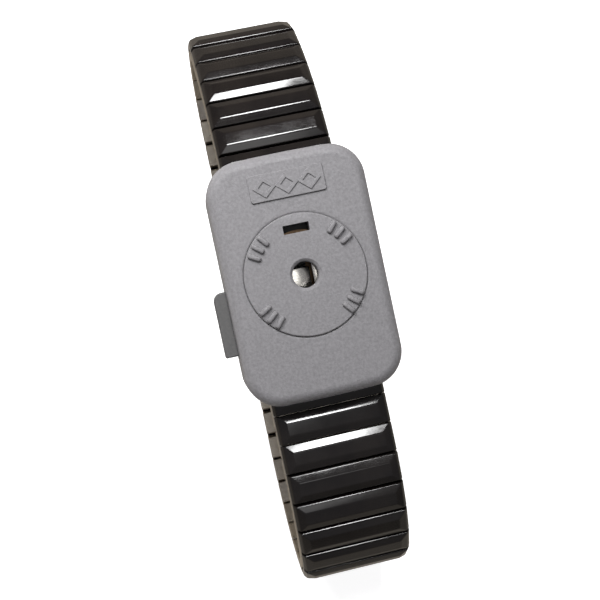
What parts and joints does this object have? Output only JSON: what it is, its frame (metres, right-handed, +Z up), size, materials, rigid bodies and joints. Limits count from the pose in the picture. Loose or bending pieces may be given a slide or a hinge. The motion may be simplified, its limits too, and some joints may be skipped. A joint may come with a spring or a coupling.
{
  "type": "esd wrist strap",
  "caption": "Antistatic wrist strap: closed expansion band of bevelled metal links on spring bows, and a plastic plug housing with swivel disc and release slide",
  "frame": {"origin": "On the resting plane, directly below the axis of the plug hole", "axes": "+X from the plug hole towards the nameplate end of the housing, +Y across the band towards the release slide, +Z up, out of the disc face"},
  "size_m": [0.085, 0.0238, 0.0387],
  "materials": {
    "housing_plastic": "fine spark-eroded stipple",
    "slide_plastic": "satin",
    "carrier_plastic": "matt black",
    "cover_coating": "glossy black coating over steel",
    "band_steel": "rolled, slightly brown",
    "contact_nickel": "nickel plated",
    "copper_alloy": "plain strip"
  },
  "bodies": {
    "housing": {"top_cover": "housing_plastic", "base_cover": "housing_plastic", "friction_ring": "contact_nickel", "slip_ring": "copper_alloy", "contact_carrier": "carrier_plastic", "pin_contact_left": "contact_nickel", "pin_contact_right": "contact_nickel", "lead_upper": "copper_alloy", "lead_lower": "copper_alloy", "end_bracket_upper": "band_steel", "end_bracket_lower": "band_steel", "bracket_rivets": "band_steel", "cover_screws": "band_steel"},
    "disc_body": {"swivel_disc": "housing_plastic"},
    "slide_body": {"release_slide": "slide_plastic", "release_spring": "band_steel"},
    "upper_link_01_body": {"upper_link_01": "cover_coating"},
    "upper_link_02_body": {"upper_link_02": "cover_coating"},
    "upper_link_03_body": {"upper_link_03": "cover_coating"},
    "upper_link_04_body": {"upper_link_04": "cover_coating"},
    "upper_link_05_body": {"upper_link_05": "cover_coating"},
    "upper_link_06_body": {"upper_link_06": "cover_coating"},
    "upper_link_07_body": {"upper_link_07": "cover_coating"},
    "upper_link_08_body": {"upper_link_08": "cover_coating"},
    "upper_link_09_body": {"upper_link_09": "cover_coating"},
    "upper_link_10_body": {"upper_link_10": "cover_coating"},
    "upper_link_11_body": {"upper_link_11": "cover_coating"},
    "upper_link_12_body": {"upper_link_12": "cover_coating"},
    "upper_link_13_body": {"upper_link_13": "cover_coating"},
    "upper_link_14_body": {"upper_link_14": "cover_coating"},
    "upper_link_15_body": {"upper_link_15": "cover_coating"},
    "upper_link_16_body": {"upper_link_16": "cover_coating"},
    "upper_link_17_body": {"upper_link_17": "cover_coating"},
    "upper_link_18_body": {"upper_link_18": "cover_coating"},
    "insulating_link_body": {"insulating_link": "carrier_plastic"},
    "lower_link_01_body": {"lower_link_01": "cover_coating"},
    "lower_link_02_body": {"lower_link_02": "cover_coating"},
    "lower_link_03_body": {"lower_link_03": "cover_coating"},
    "lower_link_04_body": {"lower_link_04": "cover_coating"},
    "lower_link_05_body": {"lower_link_05": "cover_coating"},
    "lower_link_06_body": {"lower_link_06": "cover_coating"},
    "lower_link_07_body": {"lower_link_07": "cover_coating"},
    "lower_link_08_body": {"lower_link_08": "cover_coating"},
    "lower_link_09_body": {"lower_link_09": "cover_coating"},
    "lower_link_10_body": {"lower_link_10": "cover_coating"},
    "lower_link_11_body": {"lower_link_11": "cover_coating"},
    "lower_link_12_body": {"lower_link_12": "cover_coating"},
    "lower_link_13_body": {"lower_link_13": "cover_coating"},
    "lower_link_14_body": {"lower_link_14": "cover_coating"},
    "lower_link_15_body": {"lower_link_15": "cover_coating"},
    "lower_link_16_body": {"lower_link_16": "cover_coating"},
    "lower_link_17_body": {"lower_link_17": "cover_coating"},
    "lower_link_18_body": {"lower_link_18": "cover_coating"},
    "lower_link_19_body": {"lower_link_19": "cover_coating"},
    "lower_link_20_body": {"lower_link_20": "cover_coating"},
    "lower_link_21_body": {"lower_link_21": "cover_coating"}
  },
  "joints": [
    {"name": "disc_swivel", "type": "hinge", "parent": "housing", "child": "disc_body", "pos_m": [0, 0, 0.0384], "axis": [0, 0, 1], "continuous": true},
    {"name": "release_press", "type": "slide", "parent": "housing", "child": "slide_body", "axis": [0, -1, 0], "range_m": [0, 0.0015], "stiffness_N_per_m": 150, "springref_m": -0.001},
    {"name": "band_expansion", "type": "slide", "parent": "housing", "child": "upper_link_01_body", "axis": [1, 0, 0], "range_m": [0, 0.00080001], "stiffness_N_per_m": 400, "springref_m": -0.0012},
    {"name": "upper_slide_02", "type": "slide", "parent": "upper_link_01_body", "child": "upper_link_02_body", "axis": [0.9662, 0, -0.2578], "range_m": [0, 0.00080001]},
    {"name": "upper_slide_03", "type": "slide", "parent": "upper_link_02_body", "child": "upper_link_03_body", "axis": [0.9276, 0, -0.3735], "range_m": [0, 0.00080001]},
    {"name": "upper_slide_04", "type": "slide", "parent": "upper_link_03_body", "child": "upper_link_04_body", "axis": [0.8753, 0, -0.4837], "range_m": [0, 0.00080001]},
    {"name": "upper_slide_05", "type": "slide", "parent": "upper_link_04_body", "child": "upper_link_05_body", "axis": [0.8099, 0, -0.5866], "range_m": [0, 0.00080001]},
    {"name": "upper_slide_06", "type": "slide", "parent": "upper_link_05_body", "child": "upper_link_06_body", "axis": [0.7324, 0, -0.6809], "range_m": [0, 0.00080001]},
    {"name": "upper_slide_07", "type": "slide", "parent": "upper_link_06_body", "child": "upper_link_07_body", "axis": [0.6441, 0, -0.765], "range_m": [0, 0.00080001]},
    {"name": "upper_slide_08", "type": "slide", "parent": "upper_link_07_body", "child": "upper_link_08_body", "axis": [0.2848, 0, -0.9586], "range_m": [0, 0.00080001]},
    {"name": "upper_slide_09", "type": "slide", "parent": "upper_link_08_body", "child": "upper_link_09_body", "axis": [-0.0838, 0, -0.9965], "range_m": [0, 0.00080001]},
    {"name": "upper_slide_10", "type": "slide", "parent": "upper_link_09_body", "child": "upper_link_10_body", "axis": [-0.4194, 0, -0.9078], "range_m": [0, 0.00080001]},
    {"name": "upper_slide_11", "type": "slide", "parent": "upper_link_10_body", "child": "upper_link_11_body", "axis": [-0.7044, 0, -0.7098], "range_m": [0, 0.00080001]},
    {"name": "upper_slide_12", "type": "slide", "parent": "upper_link_11_body", "child": "upper_link_12_body", "axis": [-0.9046, 0, -0.4262], "range_m": [0, 0.00080001]},
    {"name": "upper_slide_13", "type": "slide", "parent": "upper_link_12_body", "child": "upper_link_13_body", "axis": [-0.9958, 0, -0.0913], "range_m": [0, 0.00080001]},
    {"name": "upper_slide_14", "type": "slide", "parent": "upper_link_13_body", "child": "upper_link_14_body", "axis": [-1, 0, 0], "range_m": [0, 0.00041763]},
    {"name": "upper_slide_15", "type": "slide", "parent": "upper_link_14_body", "child": "upper_link_15_body", "axis": [-1, 0, 0], "range_m": [0, 0.00041763]},
    {"name": "upper_slide_16", "type": "slide", "parent": "upper_link_15_body", "child": "upper_link_16_body", "axis": [-1, 0, 0], "range_m": [0, 0.00041763]},
    {"name": "upper_slide_17", "type": "slide", "parent": "upper_link_16_body", "child": "upper_link_17_body", "axis": [-1, 0, 0], "range_m": [0, 0.00041763]},
    {"name": "upper_slide_18", "type": "slide", "parent": "upper_link_17_body", "child": "upper_link_18_body", "axis": [-1, 0, 0], "range_m": [0, 0.00041763]},
    {"name": "insulating_slide", "type": "slide", "parent": "upper_link_18_body", "child": "insulating_link_body", "axis": [-1, 0, 0], "range_m": [0, 0.00041763]},
    {"name": "lower_slide_01", "type": "slide", "parent": "housing", "child": "lower_link_01_body", "axis": [-1, 0, 0], "range_m": [0, 0.00079745]},
    {"name": "lower_slide_02", "type": "slide", "parent": "lower_link_01_body", "child": "lower_link_02_body", "axis": [-1, 0, 0], "range_m": [0, 0.00079745]},
    {"name": "lower_slide_03", "type": "slide", "parent": "lower_link_02_body", "child": "lower_link_03_body", "axis": [-1, 0, 0], "range_m": [0, 0.00079745]},
    {"name": "lower_slide_04", "type": "slide", "parent": "lower_link_03_body", "child": "lower_link_04_body", "axis": [-0.9997, 0, -0.0225], "range_m": [0, 0.00079745]},
    {"name": "lower_slide_05", "type": "slide", "parent": "lower_link_04_body", "child": "lower_link_05_body", "axis": [-0.9737, 0, -0.228], "range_m": [0, 0.00079745]},
    {"name": "lower_slide_06", "type": "slide", "parent": "lower_link_05_body", "child": "lower_link_06_body", "axis": [-0.9058, 0, -0.4237], "range_m": [0, 0.00079745]},
    {"name": "lower_slide_07", "type": "slide", "parent": "lower_link_06_body", "child": "lower_link_07_body", "axis": [-0.7991, 0, -0.6012], "range_m": [0, 0.00079745]},
    {"name": "lower_slide_08", "type": "slide", "parent": "lower_link_07_body", "child": "lower_link_08_body", "axis": [-0.5815, 0, -0.8136], "range_m": [0, 0.00079745]},
    {"name": "lower_slide_09", "type": "slide", "parent": "lower_link_08_body", "child": "lower_link_09_body", "axis": [-0.2409, 0, -0.9706], "range_m": [0, 0.00079745]},
    {"name": "lower_slide_10", "type": "slide", "parent": "lower_link_09_body", "child": "lower_link_10_body", "axis": [0.0465, 0, -0.9989], "range_m": [0, 0.00079745]},
    {"name": "lower_slide_11", "type": "slide", "parent": "lower_link_10_body", "child": "lower_link_11_body", "axis": [0.2986, 0, -0.9544], "range_m": [0, 0.00079745]},
    {"name": "lower_slide_12", "type": "slide", "parent": "lower_link_11_body", "child": "lower_link_12_body", "axis": [0.5311, 0, -0.8473], "range_m": [0, 0.00079745]},
    {"name": "lower_slide_13", "type": "slide", "parent": "lower_link_12_body", "child": "lower_link_13_body", "axis": [0.7288, 0, -0.6848], "range_m": [0, 0.00079745]},
    {"name": "lower_slide_14", "type": "slide", "parent": "lower_link_13_body", "child": "lower_link_14_body", "axis": [0.8787, 0, -0.4773], "range_m": [0, 0.00079745]},
    {"name": "lower_slide_15", "type": "slide", "parent": "lower_link_14_body", "child": "lower_link_15_body", "axis": [0.9711, 0, -0.2386], "range_m": [0, 0.00079745]},
    {"name": "lower_slide_16", "type": "slide", "parent": "lower_link_15_body", "child": "lower_link_16_body", "axis": [1, 0, 0], "range_m": [0, 0.00053775]},
    {"name": "lower_slide_17", "type": "slide", "parent": "lower_link_16_body", "child": "lower_link_17_body", "axis": [1, 0, 0], "range_m": [0, 0.00053775]},
    {"name": "lower_slide_18", "type": "slide", "parent": "lower_link_17_body", "child": "lower_link_18_body", "axis": [1, 0, 0], "range_m": [0, 0.00053775]},
    {"name": "lower_slide_19", "type": "slide", "parent": "lower_link_18_body", "child": "lower_link_19_body", "axis": [1, 0, 0], "range_m": [0, 0.00053775]},
    {"name": "lower_slide_20", "type": "slide", "parent": "lower_link_19_body", "child": "lower_link_20_body", "axis": [1, 0, 0], "range_m": [0, 0.00053775]},
    {"name": "lower_slide_21", "type": "slide", "parent": "lower_link_20_body", "child": "lower_link_21_body", "axis": [1, 0, 0], "range_m": [0, 0.00053775]}
  ],
  "couplings": [
    {"joint": "upper_slide_02", "follows": "band_expansion", "ratio": 1},
    {"joint": "upper_slide_03", "follows": "band_expansion", "ratio": 1},
    {"joint": "upper_slide_04", "follows": "band_expansion", "ratio": 1},
    {"joint": "upper_slide_05", "follows": "band_expansion", "ratio": 1},
    {"joint": "upper_slide_06", "follows": "band_expansion", "ratio": 1},
    {"joint": "upper_slide_07", "follows": "band_expansion", "ratio": 1},
    {"joint": "upper_slide_08", "follows": "band_expansion", "ratio": 1},
    {"joint": "upper_slide_09", "follows": "band_expansion", "ratio": 1},
    {"joint": "upper_slide_10", "follows": "band_expansion", "ratio": 1},
    {"joint": "upper_slide_11", "follows": "band_expansion", "ratio": 1},
    {"joint": "upper_slide_12", "follows": "band_expansion", "ratio": 1},
    {"joint": "upper_slide_13", "follows": "band_expansion", "ratio": 1},
    {"joint": "upper_slide_14", "follows": "band_expansion", "ratio": 0.52203},
    {"joint": "upper_slide_15", "follows": "band_expansion", "ratio": 0.52203},
    {"joint": "upper_slide_16", "follows": "band_expansion", "ratio": 0.52203},
    {"joint": "upper_slide_17", "follows": "band_expansion", "ratio": 0.52203},
    {"joint": "upper_slide_18", "follows": "band_expansion", "ratio": 0.52203},
    {"joint": "insulating_slide", "follows": "band_expansion", "ratio": 0.52203},
    {"joint": "lower_slide_01", "follows": "band_expansion", "ratio": 0.99681},
    {"joint": "lower_slide_02", "follows": "band_expansion", "ratio": 0.99681},
    {"joint": "lower_slide_03", "follows": "band_expansion", "ratio": 0.99681},
    {"joint": "lower_slide_04", "follows": "band_expansion", "ratio": 0.99681},
    {"joint": "lower_slide_05", "follows": "band_expansion", "ratio": 0.99681},
    {"joint": "lower_slide_06", "follows": "band_expansion", "ratio": 0.99681},
    {"joint": "lower_slide_07", "follows": "band_expansion", "ratio": 0.99681},
    {"joint": "lower_slide_08", "follows": "band_expansion", "ratio": 0.99681},
    {"joint": "lower_slide_09", "follows": "band_expansion", "ratio": 0.99681},
    {"joint": "lower_slide_10", "follows": "band_expansion", "ratio": 0.99681},
    {"joint": "lower_slide_11", "follows": "band_expansion", "ratio": 0.99681},
    {"joint": "lower_slide_12", "follows": "band_expansion", "ratio": 0.99681},
    {"joint": "lower_slide_13", "follows": "band_expansion", "ratio": 0.99681},
    {"joint": "lower_slide_14", "follows": "band_expansion", "ratio": 0.99681},
    {"joint": "lower_slide_15", "follows": "band_expansion", "ratio": 0.99681},
    {"joint": "lower_slide_16", "follows": "band_expansion", "ratio": 0.67218},
    {"joint": "lower_slide_17", "follows": "band_expansion", "ratio": 0.67218},
    {"joint": "lower_slide_18", "follows": "band_expansion", "ratio": 0.67218},
    {"joint": "lower_slide_19", "follows": "band_expansion", "ratio": 0.67218},
    {"joint": "lower_slide_20", "follows": "band_expansion", "ratio": 0.67218},
    {"joint": "lower_slide_21", "follows": "band_expansion", "ratio": 0.67218}
  ]
}
